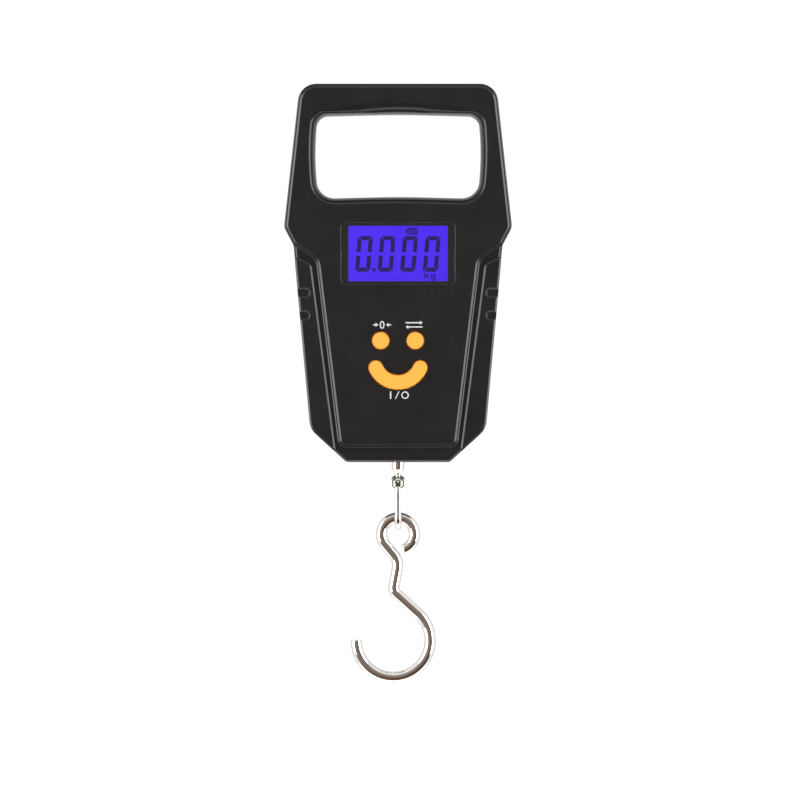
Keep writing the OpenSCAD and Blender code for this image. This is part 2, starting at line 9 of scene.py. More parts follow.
import bmesh
import bpy
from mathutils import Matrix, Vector


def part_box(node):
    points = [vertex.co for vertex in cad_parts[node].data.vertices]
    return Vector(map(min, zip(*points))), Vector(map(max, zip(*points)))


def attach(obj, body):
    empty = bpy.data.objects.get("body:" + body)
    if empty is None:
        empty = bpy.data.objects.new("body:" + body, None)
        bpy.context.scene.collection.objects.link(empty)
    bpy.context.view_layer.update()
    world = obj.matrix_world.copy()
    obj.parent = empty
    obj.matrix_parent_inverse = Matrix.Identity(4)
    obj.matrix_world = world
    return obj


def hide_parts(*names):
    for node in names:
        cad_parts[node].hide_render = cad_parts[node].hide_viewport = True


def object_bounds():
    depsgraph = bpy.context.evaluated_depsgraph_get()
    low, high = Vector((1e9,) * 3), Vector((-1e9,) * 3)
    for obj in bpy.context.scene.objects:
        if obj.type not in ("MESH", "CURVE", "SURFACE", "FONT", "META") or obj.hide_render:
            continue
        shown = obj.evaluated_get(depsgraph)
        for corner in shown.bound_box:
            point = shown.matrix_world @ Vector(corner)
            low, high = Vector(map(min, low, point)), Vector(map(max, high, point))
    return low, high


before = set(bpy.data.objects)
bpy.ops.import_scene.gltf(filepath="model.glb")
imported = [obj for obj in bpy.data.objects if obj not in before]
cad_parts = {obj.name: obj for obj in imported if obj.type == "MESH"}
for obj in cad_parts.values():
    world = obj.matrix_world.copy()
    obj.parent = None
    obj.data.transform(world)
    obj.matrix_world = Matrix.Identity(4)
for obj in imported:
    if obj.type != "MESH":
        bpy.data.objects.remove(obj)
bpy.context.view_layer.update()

SCENE = bpy.context.scene
MM = 0.001
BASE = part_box("front_cover")[0].z / MM

# ---- Sizes, as in the CAD model ----

BODY_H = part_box("front_cover")[1].z / MM - BASE
WALL = 2.2
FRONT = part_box("front_cover")[0].y / MM
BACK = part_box("rear_cover")[1].y / MM
# Depths of the groove round the plateau, of the side pads and of the faces inside
GROOVE = FRONT + 2
PAD = FRONT + 0.9
PANEL_INNER = FRONT + WALL
LOW_INNER = GROOVE + WALL
BACK_INNER = BACK - WALL
OPENING_TOP = 122.5
OPENING_BOTTOM = 93.4
DISPLAY_Z = 73.5
WINDOW_W, WINDOW_H = 39.6, 21.2
WINDOW_SEAT = 1.3
# The opening behind the window is drawn 0.6 less high than in the CAD
VIEW_W, VIEW_H = 35.0, 19.5
KEY_R, KEY_X, KEY_Z = 3.0, 6.07, 42.8
BAR_R, BAR_W, BAR_Z, BAR_ANGLE = 8.5, 5.0, 36.6, 67
KEY_PROUD = 1.1
KEY_EDGE = 0.5
KEY_CLEAR = 0.35
KEY_HOLE_DEPTH, KEY_HOLE_EDGE = 11, 0.18
FLANGE_Y0, FLANGE_Y1, FLANGE_OUT = PANEL_INNER + 0.05, PANEL_INNER + 0.85, 0.9
BOARD_FRONT = -6.5
SCREWS = [(22, BODY_H - 5.35), (31, 86.4), (22.4, 12.6)]
POST_R, PILOT_R = 3.1, 1.25
WELL_R, WELL_DEPTH = 2.6, 3
BOARD_SCREWS = [(20.4, 27), (20.4, 54.6)]
STUD_R, STUD_PILOT_R = 2.2, 0.9
BEAM_SCREWS = [(11, 34.5)]
BEAM_POST_R, BEAM_PILOT_R = 3.4, 1.55
NOTCH_ZS, NOTCH_R = (59.6, 51.6), 1.25
BAY_Z, BAY_HALF_W, BAY_HALF_H, BAY_WALL = 63.5, 25.6, 11.5, 2.8
DOOR_HALF_W, DOOR_GAP, DOOR_T = 26.6, 0.25, 1.9
DOOR_LOW, DOOR_HIGH = BAY_Z - BAY_HALF_H - 1.4, BAY_Z + BAY_HALF_H + 1.4
DOOR_MID, DOOR_H = (DOOR_LOW + DOOR_HIGH) / 2, DOOR_HIGH - DOOR_LOW
TONGUE_XS = (-15, 15)
THUMB_R = 6.4
CELL_R, CELL_LEN, CELL_PITCH, CELL_Y = 5.2, 44.5, 11, 5.4
NUB_LEN = 0.8
SHAFT_R, SHAFT_HOLE_R = 2.25, 2.7
EYE_Z, EYE_R, EYE_WIRE = -7.15, 2.0, 0.75
LINK_R, LINK_HALF = 1.1, 3.4
LINK_TOP, LINK_BOTTOM = -7.15, -22.85
HOOK_R = 2.0
RING_Z, RING_R = -25.4, 5.8
BOWL_X, BOWL_Z, BOWL_R = -1.7, -62.9, 13.0

# ---- Outlines: corners are (x, height, radius), anticlockwise ----

ARC_STEPS = 10
ROUND_SIDES = 48


def corner_arc(before, corner, after, steps=ARC_STEPS):
    """Points that round one corner of a path."""
    at = Vector(corner[:2])
    u = (Vector(before[:2]) - at).normalized()
    v = (Vector(after[:2]) - at).normalized()
    half = u.angle(v) / 2
    radius = corner[2]
    centre = at + (u + v).normalized() * radius / math.sin(half)
    first = at + u * radius / math.tan(half) - centre
    last = at + v * radius / math.tan(half) - centre
    start = math.atan2(first.y, first.x)
    sweep = math.atan2(last.y, last.x) - start
    sweep = (sweep + math.pi) % math.tau - math.pi
    angles = [start + sweep * i / steps for i in range(steps + 1)]
    return [(centre.x + radius * math.cos(a), centre.y + radius * math.sin(a)) for a in angles]


def rounded(corners, steps=ARC_STEPS):
    """A closed outline with every corner rounded to its own radius."""
    n = len(corners)
    points = []
    for i in range(n):
        points += corner_arc(corners[i - 1], corners[i], corners[(i + 1) % n], steps)
    return points


def profile(corners, steps=5):
    """An open path of (outwards, depth) whose corners may carry a radius."""
    points = [corners[0][:2]]
    for before, corner, after in zip(corners, corners[1:], corners[2:]):
        points += corner_arc(before, corner, after, steps) if len(corner) > 2 else [corner]
    return points + [corners[-1][:2]]


def fillet(wall_d, wall_y, face_d, face_y, steps=7):
    """Quarter ellipse that leaves a wall and meets a face, as (outwards, depth)."""
    angles = [math.pi / 2 * i / steps for i in range(steps + 1)]
    return [(face_d + (wall_d - face_d) * math.cos(a), wall_y + (face_y - wall_y) * math.sin(a))
            for a in angles]


def both_sides(half):
    """A right-hand half, bottom to top, and its mirror image."""
    return half + [(-x, z, r) for x, z, r in reversed(half)]


def grow(corners, d):
    """The outline moved outwards by d; its round corners keep their centres."""
    out = []
    n = len(corners)
    for i, (x, z, r) in enumerate(corners):
        at = Vector((x, z))
        e0 = (at - Vector(corners[i - 1][:2])).normalized()
        e1 = (Vector(corners[(i + 1) % n][:2]) - at).normalized()
        n0, n1 = Vector((e0.y, -e0.x)), Vector((e1.y, -e1.x))
        moved = at + (n0 + n1) * d / (1 + n0.dot(n1))
        convex = e0.x * e1.y - e0.y * e1.x > 0
        out.append((moved.x, moved.y, max(r + d if convex else r - d, 0.05)))
    return out


def rectangle(x, z, w, h, r):
    """Corners of a rectangle about its middle."""
    return [(x - w / 2, z - h / 2, r), (x + w / 2, z - h / 2, r),
            (x + w / 2, z + h / 2, r), (x - w / 2, z + h / 2, r)]


def circle(x, z, r, sides=ROUND_SIDES):
    """Points of a circle about a point."""
    angles = [math.tau * i / sides for i in range(sides)]
    return [(x + r * math.cos(a), z + r * math.sin(a)) for a in angles]


def arc(x, z, r, a0, a1, steps):
    """Points of an arc, its angles in degrees."""
    angles = [math.radians(a0 + (a1 - a0) * i / steps) for i in range(steps + 1)]
    return [(x + r * math.cos(a), z + r * math.sin(a)) for a in angles]


def bar(spread=0.0):
    """Outline of the curved key with round ends, spread outwards by some amount."""
    half = BAR_W / 2 + spread
    low, high = -90 - BAR_ANGLE, -90 + BAR_ANGLE
    right = arc(0, BAR_Z, BAR_R, high, high, 1)[0]
    left = arc(0, BAR_Z, BAR_R, low, low, 1)[0]
    return (arc(0, BAR_Z, BAR_R + half, low, high, 40)
            + arc(*right, half, high + 9, high + 171, 18)
            + arc(0, BAR_Z, BAR_R - half, high, low, 30)
            + arc(*left, half, low + 189, low + 351, 18))


BODY = both_sides([(18.2, 0, 2), (30.95, 11.7, 7), (36.8, 76.4, 4), (40.15, 82.7, 4),
                   (34.6, BODY_H, 6.5)])
PLATEAU = both_sides([(20.9, 5.1, 3.2), (28.85, 70.8, 4), (36.85, 76.49, 0.5), (40.15, 82.7, 4),
                      (34.6, BODY_H, 6.5)])
PAD_SIDE = [(21.83, 3.36, 0.5), (30.95, 11.7, 7), (36.5, 72.7, 0.8), (30.5, 69.7, 2.5)]


def ring_of(bottom, half, top):
    """Outline of an opening from its bottom middle, right half and top middle."""
    return [bottom] + half + [top] + [(-x, z, r) for x, z, r in reversed(half)]


OPENING = ring_of((0, OPENING_BOTTOM + 0.1, 300),
                  [(28.2, OPENING_BOTTOM - 0.6, 6.3), (29.45, OPENING_TOP - 13.5, 100),
                   (28.4, OPENING_TOP - 0.6, 4.2)],
                  (0, OPENING_TOP + 0.1, 300))
# Outer edge of the opening's rounded front rim; its top is an arch over the finger side
RIM = ring_of((0, OPENING_BOTTOM - 2.5, 300),
              [(30.6, OPENING_BOTTOM - 3.5, 9.2), (32.2, OPENING_TOP - 13.5, 100),
               (31.2, OPENING_TOP + 0.6, 5.2)],
              (0, OPENING_TOP + 7.2, 125))

# ---- Meshes ----


def mesh_object(name, points, faces):
    """A closed mesh from points in millimetres, with its normals outwards."""
    mesh = bpy.data.meshes.new(name)
    mesh.from_pydata([(x * MM, y * MM, (z + BASE) * MM) for x, y, z in points], [], faces)
    work = bmesh.new()
    work.from_mesh(mesh)
    bmesh.ops.recalc_face_normals(work, faces=work.faces)
    work.to_mesh(mesh)
    work.free()
    obj = bpy.data.objects.new(name, mesh)
    SCENE.collection.objects.link(obj)
    return obj


def loft(name, loops, closed=False):
    """A skin over loops of equal length, capped at both ends unless it closes on itself."""
    n = len(loops[0])
    count = len(loops)
    faces = []
    for i in range(count if closed else count - 1):
        a, b = i * n, (i + 1) % count * n
        faces += [(a + j, b + j, b + (j + 1) % n, a + (j + 1) % n) for j in range(n)]
    if not closed:
        faces.append(tuple(range(n)))
        faces.append(tuple(range(count * n - 1, (count - 1) * n - 1, -1)))
    return mesh_object(name, [p for loop in loops for p in loop], faces)


def stack(name, corners, steps):
    """One outline carried along its depth; each step is (outwards, depth)."""
    return loft(name, [[(x, y, z) for x, z in rounded(grow(corners, d))] for d, y in steps])


def bar_stack(name, steps):
    """The curved key's outline carried along its depth; each step is (outwards, depth)."""
    return loft(name, [[(x, y, z) for x, z in bar(d)] for d, y in steps])


def turned(name, x, z, steps, sides=ROUND_SIDES):
    """A round solid along the depth; each step is (radius, depth)."""
    return loft(name, [[(px, y, pz) for px, pz in circle(x, z, r, sides)] for r, y in steps])


def upright(name, steps, sides=ROUND_SIDES):
    """A round solid about the vertical axis; each step is (radius, height)."""
    return loft(name, [[(px, py, z) for px, py in circle(0, 0, r, sides)] for r, z in steps])


def tube(name, path, radii, sides, up, closed=False):
    """A round wire along a flat path, its radius given at each point; up is square to the path."""
    loops = []
    n = len(path)
    up = Vector(up)
    for i, at in enumerate(path):
        before = path[i - 1] if closed or i > 0 else at
        after = path[(i + 1) % n] if closed or i < n - 1 else at
        along = (Vector(after) - Vector(before)).normalized()
        across = along.cross(up).normalized()
        turns = [math.tau * j / sides for j in range(sides)]
        loops.append([Vector(at) + radii[i] * (math.cos(a) * across + math.sin(a) * up)
                      for a in turns])
    return loft(name, loops, closed)


def bake_modifiers(obj):
    """Replaces an object's mesh by the one that its modifiers make."""
    bpy.context.view_layer.update()
    graph = bpy.context.evaluated_depsgraph_get()
    mesh = bpy.data.meshes.new_from_object(obj.evaluated_get(graph))
    obj.modifiers.clear()
    obj.data = mesh
    return obj


def combine(target, tools, operation):
    """Joins the tools to the target or cuts them from it, then removes them."""
    for tool in tools:
        modifier = target.modifiers.new("solid", "BOOLEAN")
        modifier.operation = operation
        modifier.solver = "MANIFOLD"
        modifier.object = tool
    bake_modifiers(target)
    for tool in tools:
        bpy.data.objects.remove(tool)
    return target


def join(target, *tools):
    return combine(target, tools, "UNION")


def cut(target, *tools):
    return combine(target, tools, "DIFFERENCE")


def mirrored(make, places):
    """make(x, z) at each place and at its mirror image."""
    return [make(side * x, z) for x, z in places for side in (-1, 1)]


def pegs(name, places, r, y0, y1):
    """Round pegs along the depth, at each place and at its mirror image."""
    return mirrored(lambda x, z: turned(name, x, z, [(r, y0), (r, y1)], 32), places)


def smooth(obj, angle=32):
    """Smooth shading with flat faces kept flat and steep edges kept crisp."""
    obj.data.shade_smooth()
    obj.data.set_sharp_from_angle(angle=math.radians(angle))
    modifier = obj.modifiers.new("flat_faces", "WEIGHTED_NORMAL")
    modifier.keep_sharp = True
    return obj


# ---- Materials ----


class Look:
    """A Principled material with small builders for its nodes."""

    def __init__(self, name, color, roughness, metallic=0.0, **sockets):
        self.material = bpy.data.materials.new(name)
        self.material.use_nodes = True
        self.tree = self.material.node_tree
        self.shader = self.tree.nodes["Principled BSDF"]
        self.color = color
        self.set("Base Color", (*color, 1))
        self.set("Roughness", roughness)
        self.set("Metallic", metallic)
        for socket, value in sockets.items():
            self.set(socket.replace("_", " "), value)
        self.coordinates = None

    def set(self, socket, value):
        self.shader.inputs[socket].default_value = value

    def node(self, kind, **settings):
        node = self.tree.nodes.new(kind)
        for key, value in settings.items():
            setattr(node, key, value)
        return node

    def link(self, source, target):
        self.tree.links.new(source, target)

    def millimetres(self):
        """The object's own coordinates, in millimetres."""
        if self.coordinates is None:
            source = self.node("ShaderNodeTexCoord")
            scale = self.node("ShaderNodeVectorMath", operation="SCALE")
            scale.inputs["Scale"].default_value = 1 / MM
            self.link(source.outputs["Object"], scale.inputs[0])
            self.coordinates = scale.outputs[0]
        return self.coordinates

    def noise(self, per_mm, detail=2.0, stretch=(1, 1, 1)):
        """Noise with that many cells in a millimetre, drawn out along an axis by stretch."""
        vector = self.millimetres()
        if stretch != (1, 1, 1):
            squeeze = self.node("ShaderNodeVectorMath", operation="MULTIPLY")
            squeeze.inputs[1].default_value = stretch
            self.link(vector, squeeze.inputs[0])
            vector = squeeze.outputs[0]
        node = self.node("ShaderNodeTexNoise")
        node.inputs["Scale"].default_value = per_mm
        node.inputs["Detail"].default_value = detail
        self.link(vector, node.inputs["Vector"])
        return node.outputs["Fac"]

    def spread(self, source, low, high, start=0.3, end=0.7):
        """source mapped from start..end to low..high."""
        node = self.node("ShaderNodeMapRange")
        for socket, value in zip(("From Min", "From Max", "To Min", "To Max"),
                                 (start, end, low, high)):
            node.inputs[socket].default_value = value
        self.link(source, node.inputs["Value"])
        return node.outputs["Result"]

    def mix(self, share, first, second):
        """A colour between two, either of which may be a socket."""
        node = self.node("ShaderNodeMix", data_type="RGBA")
        self.link(share, node.inputs["Factor"])
        for socket, value in (("A", first), ("B", second)):
            target = [s for s in node.inputs if s.name == socket and s.type == "RGBA"][0]
            if isinstance(value, tuple):
                target.default_value = (*value, 1)
            else:
                self.link(value, target)
        return [s for s in node.outputs if s.type == "RGBA"][0]

    def mottle(self, per_mm, amount, detail=2.0, stretch=(1, 1, 1)):
        """Colour that drifts lighter and darker by some share."""
        source = self.spread(self.noise(per_mm, detail, stretch), 0.0, 1.0)
        dark = tuple(c * (1 - amount) for c in self.color)
        light = tuple(min(c * (1 + amount), 1) for c in self.color)
        self.link(self.mix(source, dark, light), self.shader.inputs["Base Color"])
        return self

    def rough(self, per_mm, low, high, detail=2.0, stretch=(1, 1, 1)):
        """Roughness that wanders between two values."""
        source = self.noise(per_mm, detail, stretch)
        self.link(self.spread(source, low, high), self.shader.inputs["Roughness"])
        return self

    def bump(self, per_mm, depth_mm, detail=2.0, stretch=(1, 1, 1)):
        """Relief of that depth, over any relief set before it."""
        node = self.node("ShaderNodeBump")
        node.inputs["Distance"].default_value = depth_mm * MM
        node.inputs["Strength"].default_value = 1.0
        self.link(self.noise(per_mm, detail, stretch), node.inputs["Height"])
        normal = self.shader.inputs["Normal"]
        if normal.links:
            self.link(normal.links[0].from_socket, node.inputs["Normal"])
        self.link(node.outputs["Normal"], normal)
        return self


def make_materials():
    looks = {}

    def add(slot, look):
        looks[slot] = look.material

    add("black_abs", Look("black_abs", (0.0066, 0.0068, 0.0072), 0.27, IOR=1.5)
        .mottle(0.12, 0.10).rough(0.12, 0.25, 0.29, 2).bump(1.2, 0.0006, 1))
    add("clear_acrylic", Look("clear_acrylic", (0.98, 0.985, 1.0), 0.03, IOR=1.49,
                              Specular_IOR_Level=0.25, Transmission_Weight=1.0)
        .rough(0.05, 0.015, 0.04).bump(0.06, 0.006))
    add("light_guide", Look("light_guide", (0.85, 0.88, 0.95), 0.35, Transmission_Weight=0.3)
        .mottle(0.2, 0.04).bump(2, 0.01))
    add("white_abs", Look("white_abs", (0.82, 0.82, 0.79), 0.45).mottle(0.3, 0.04).bump(2.5, 0.01))
    add("zebra_rubber", zebra_look())
    add("green_board", board_look())
    add("black_epoxy", Look("black_epoxy", (0.012, 0.012, 0.013), 0.18, Coat_Weight=0.4)
        .mottle(0.5, 0.2).bump(0.5, 0.05))
    add("solder_parts", Look("solder_parts", (0.55, 0.46, 0.30), 0.35, metallic=0.6)
        .mottle(1.2, 0.25).rough(2, 0.25, 0.5))
    add("switch_body", Look("switch_body", (0.03, 0.03, 0.032), 0.5).mottle(1, 0.1).bump(4, 0.008))
    add("orange_key", Look("orange_key", (0.87, 0.315, 0.022), 0.46, Subsurface_Weight=0.06,
                           Subsurface_Scale=0.002, Sheen_Weight=0.08)
        .mottle(0.6, 0.035).rough(0.8, 0.4, 0.52).bump(2.6, 0.012, 2))
    add("switch_stem", Look("switch_stem", (0.7, 0.67, 0.58), 0.4).mottle(0.8, 0.05).bump(3, 0.006))
    add("zinc_steel", Look("zinc_steel", (0.58, 0.59, 0.62), 0.3, metallic=1.0)
        .mottle(0.8, 0.1).rough(1.5, 0.22, 0.38).bump(5, 0.003))
    add("beam_aluminium", Look("beam_aluminium", (0.76, 0.77, 0.78), 0.35, metallic=1.0)
        .mottle(0.3, 0.05).rough(4, 0.28, 0.42, 2, (1, 1, 0.06)).bump(6, 0.004, 1, (1, 1, 0.05)))
    add("white_sealant", Look("white_sealant", (0.86, 0.86, 0.82), 0.35)
        .mottle(0.4, 0.05).bump(0.5, 0.12))
    add("wire_sleeve", Look("wire_sleeve", (0.55, 0.03, 0.025), 0.4).mottle(1, 0.12).bump(3, 0.01))
    add("wire_black", Look("wire_black", (0.02, 0.02, 0.021), 0.4).mottle(1, 0.15).bump(3, 0.01))
    add("nickel_steel", Look("nickel_steel", (0.87, 0.85, 0.82), 0.09, metallic=1.0)
        .mottle(0.15, 0.03).rough(0.5, 0.07, 0.13, 3).bump(0.45, 0.005, 2))
    add("cell_sleeve", cell_look())
    add("contact_nickel", Look("contact_nickel", (0.66, 0.63, 0.57), 0.25, metallic=1.0)
        .mottle(0.7, 0.1).rough(2, 0.18, 0.34, 2, (1, 1, 0.1)).bump(6, 0.003))
    add("lcd_glass", lcd_look())
    # Thin white print on the case, slightly uneven
    add("white_print", Look("white_print", (0.49, 0.50, 0.51), 0.5).mottle(1.5, 0.06))
    add("crystal_dark", crystal_look())
    # The case's black plastic, painted paler as light on the ledge behind the window
    add("window_ledge_painted_light", Look("window_ledge_painted_light", (0.021, 0.021, 0.022), 0.5).mottle(0.5, 0.05))
    return looks


def zebra_look():
    """Rubber strip of thin conducting layers, which shows as fine upright stripes."""
    pink, carbon = (0.78, 0.36, 0.50), (0.03, 0.03, 0.03)
    look = Look("zebra_rubber", pink, 0.5)
    stripes = look.spread(look.noise(9, 0, (1, 0, 0)), 0, 1, 0.42, 0.58)
    look.link(look.mix(stripes, pink, carbon), look.shader.inputs["Base Color"])
    return look.bump(3, 0.01)


def board_look():
    """Solder mask over copper: broad planes and fine tracks show a little lighter."""
    look = Look("green_board", (0.022, 0.17, 0.06), 0.3, Coat_Weight=0.3, Coat_Roughness=0.2)
    tracks = look.node("ShaderNodeTexBrick")
    tracks.inputs["Scale"].default_value = 0.35
    tracks.inputs["Mortar Size"].default_value = 0.12
    turn = look.node("ShaderNodeMapping")
    turn.inputs["Rotation"].default_value = (math.pi / 2, 0, 0)
    look.link(look.millimetres(), turn.inputs["Vector"])
    look.link(turn.outputs["Vector"], tracks.inputs["Vector"])
    mask = look.mix(tracks.outputs["Fac"], (0.016, 0.14, 0.048), (0.045, 0.24, 0.085))
    look.link(mask, look.shader.inputs["Base Color"])
    return look.rough(0.6, 0.24, 0.36).bump(1.5, 0.01)


def cell_look():
    """Glossy blue shrink sleeve."""
    look = Look("cell_sleeve", (0.04, 0.11, 0.38), 0.28, Coat_Weight=0.5, Coat_Roughness=0.08)
    return look.mottle(0.25, 0.12).rough(0.5, 0.22, 0.34).bump(0.35, 0.03)


def lcd_look():
    """Lit display glass: its light comes through nearly evenly, in broad faint patches."""
    look = Look("lcd_glass", (0.002, 0.002, 0.02), 0.25, Specular_IOR_Level=0.15)
    patches = look.spread(look.noise(0.035, 1), 0.0, 1.0)
    light = look.mix(patches, (0.064, 0.013, 0.86), (0.076, 0.019, 0.94))
    look.link(light, look.shader.inputs["Emission Color"])
    look.set("Emission Strength", 1.02)
    return look


def crystal_look():
    """Liquid-crystal dark, which lets a little of the light behind it through."""
    look = Look("crystal_dark", (0.001, 0.001, 0.004), 0.5, Specular_IOR_Level=0.1).mottle(1.5, 0.06)
    look.set("Emission Color", (0.004, 0.001, 0.10, 1))
    look.set("Emission Strength", 1.0)
    return look


LOOKS = make_materials()


def hand_over(obj, body, slot, *nodes, look=None):
    """Gives a finished piece its material and its body, and hides the CAD nodes that it stands for."""
    obj.data.materials.clear()
    obj.data.materials.append(LOOKS[look or slot])
    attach(obj, body)
    if nodes:
        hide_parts(*nodes)
    return obj


# ---- Case ----


def hollow(name, y0, y1, outer, outer_in, around):
    """Room between the outer wall and the wall round the grip opening."""
    room = stack(name, outer, [(-outer_in, y0), (-outer_in, y1)])
    core = stack("core", OPENING, [(around, y0 - 1), (around, y1 + 1)])
    return cut(room, core)


def opening_cutter(start, throat, face, rim):
    """Grip opening from a depth inside; its edge rounds over from the throat to a rim on a face."""
    narrow, wide = rounded(OPENING), rounded(rim)
    beyond = face + math.copysign(2, face)
    steps = [(0, start), (0, throat)]
    # The curve stops a little short of the face, which it meets with a faint crease
    steps += [(1 - math.cos(a), throat + (face - throat) * math.sin(a))
              for a in (math.radians(84 * i / 10) for i in range(1, 11))]
    steps += [(1, face), (1, beyond)]
    loops = []
    for share, y in steps:
        loops.append([(nx + (wx - nx) * share, y, nz + (wz - nz) * share)
                      for (nx, nz), (wx, wz) in zip(narrow, wide)])
    return loft("opening", loops)


def pad(side):
    """Raised side pad, which falls away a little towards the body's edge."""
    corners = [(side * x, z, r) for x, z, r in PAD_SIDE]
    if side < 0:
        corners.reverse()
    edge = profile([(0.02, LOW_INNER + 0.4), (0.02, PAD + 0.4, 0.08), (-0.65, PAD, 0.12),
                    (-1.2, PAD)])
    obj = stack("pad", corners, edge)
    inner_low, inner_high = PAD_SIDE[0], PAD_SIDE[3]
    lean = (inner_high[0] - inner_low[0]) / (inner_high[1] - inner_low[1])
    fall = 0.06
    for vertex in obj.data.vertices:
        x, y, z = vertex.co / MM
        if y < GROOVE - 0.3:
            inner_x = inner_low[0] + lean * (z - BASE - inner_low[1])
            vertex.co.y += fall * max(abs(x) - inner_x, 0) * MM
    return obj


def notch_cutter(side, z):
    """Fingertip recess, round at its inner end and open to the side."""
    r = NOTCH_R
    inner, outer = 32.6 - r, 45.0
    corners = [(side * inner, z - r, r - 0.02), (side * outer, z - r, 0.1),
               (side * outer, z + r, 0.1), (side * inner, z + r, r - 0.02)]
    if side < 0:
        corners.reverse()
    floor, surface = PAD + 1.0, PAD + 0.4
    steps = [(-0.25, floor), (-0.07, floor - 0.07), (0, floor - 0.25), (0, surface + 0.3),
             (0.42, surface - 0.02), (0.8, surface - 0.4), (0.8, PAD - 2)]
    return stack("notch", corners, steps)


def shaft_hole():
    """Hole for the swivel's shaft, through the bottom wall at the parting line."""
    return upright("shaft_hole", [(SHAFT_HOLE_R, -1), (SHAFT_HOLE_R, WALL + 1)])


def mouth(r, face, depth, edge):
    """Steps of a round or outline hole with a small rounded mouth on a face."""
    inward = math.copysign(1, -face)
    return ([(r, inward * depth + face)]
            + fillet(r, face + inward * edge, r + edge, face - inward * 0.002, 4)
            + [(r + edge, face - inward * 2)])


def make_front_cover():
    cover = stack("front_cover_shell", BODY,
                  [(-0.15, 0), (-0.04, -0.04), (0, -0.15)] + fillet(0, GROOVE + 1.7, -1.7, GROOVE))
    edge = profile([(0.02, -0.13), (0.02, FRONT + 0.74, 0.08), (-0.36, FRONT + 0.5, 0.06),
                    (-0.72, FRONT + 0.42, 0.06), (-1.4, FRONT, 0.2), (-2.4, FRONT)])
    join(cover, stack("plateau", PLATEAU, edge), pad(-1), pad(1))
    cut(cover,
        hollow("low_room", LOW_INNER, 1, BODY, WALL, WALL),
        hollow("high_room", PANEL_INNER, 0.5, PLATEAU, WALL + 1.4, WALL + 1))
    join(cover,
         *pegs("post", SCREWS, POST_R, GROOVE + 0.1, 0),
         *pegs("stud", BOARD_SCREWS, STUD_R, PANEL_INNER - 0.5, BOARD_FRONT))
    cutters = [opening_cutter(1, FRONT + 6, FRONT, RIM)]
    cutters.append(stack("seat", rectangle(0, DISPLAY_Z, WINDOW_W + 0.3, WINDOW_H + 0.3, 1.5),
                         mouth(0, FRONT, WINDOW_SEAT, 0.4)))
    cutters.append(stack("view", rectangle(0, DISPLAY_Z - 0.05, VIEW_W, VIEW_H, 0.3),
                         [(0, FRONT - 1), (0, 0)]))
    round_mouth = mouth(KEY_R + KEY_CLEAR, FRONT, KEY_HOLE_DEPTH, KEY_HOLE_EDGE)
    bar_mouth = mouth(KEY_CLEAR, FRONT, KEY_HOLE_DEPTH, KEY_HOLE_EDGE)
    cutters += mirrored(lambda x, z: turned("key_hole", x, z, round_mouth), [(KEY_X, KEY_Z)])
    cutters.append(bar_stack("bar_hole", bar_mouth))
    cutters += pegs("pilot", SCREWS, PILOT_R, LOW_INNER + 0.6, 1)
    cutters += pegs("pilot", BOARD_SCREWS, STUD_PILOT_R, PANEL_INNER + 0.3, 1)
    cutters += [notch_cutter(side, z) for side in (-1, 1) for z in NOTCH_ZS]
    cut(cover, *cutters, shaft_hole())
    hand_over(smooth(cover), "case", "black_abs", "front_cover")
    # The ledge behind the clear window is seen through it and gets its own, paler black: painted light
    # that stands in for the lamp light the window holds back
    cover.data.materials.append(LOOKS["window_ledge_painted_light"])
    for face in cover.data.polygons:
        x, y, z = face.center / MM
        in_window = abs(x) < WINDOW_W / 2 and abs(z - BASE - DISPLAY_Z) < WINDOW_H / 2
        if in_window and abs(y - FRONT - WINDOW_SEAT) < 0.05:
            face.material_index = 1


def locating_rim():
    """Tongue that reaches into the front cover and lines the two up, and its root in this one."""
    rims = []
    for start, inset in ((-1.5, WALL + 0.1), (0.2, WALL - 0.2)):
        ring = stack("rim", BODY, [(-inset, start), (-inset, 2)])
        tools = [stack("core", BODY, [(-WALL - 1, start - 1), (-WALL - 1, 3)]),
                 stack("core", OPENING, [(WALL + 3, start - 1), (WALL + 3, 3)]),
                 stack("shaft_gap", rectangle(0, 0, 16, 12, 0.2), [(0, start - 1), (0, 3)])]
        tools += pegs("post_gap", SCREWS, POST_R + 0.4, start - 1, 3)
        rims.append(cut(ring, *tools))
    return rims


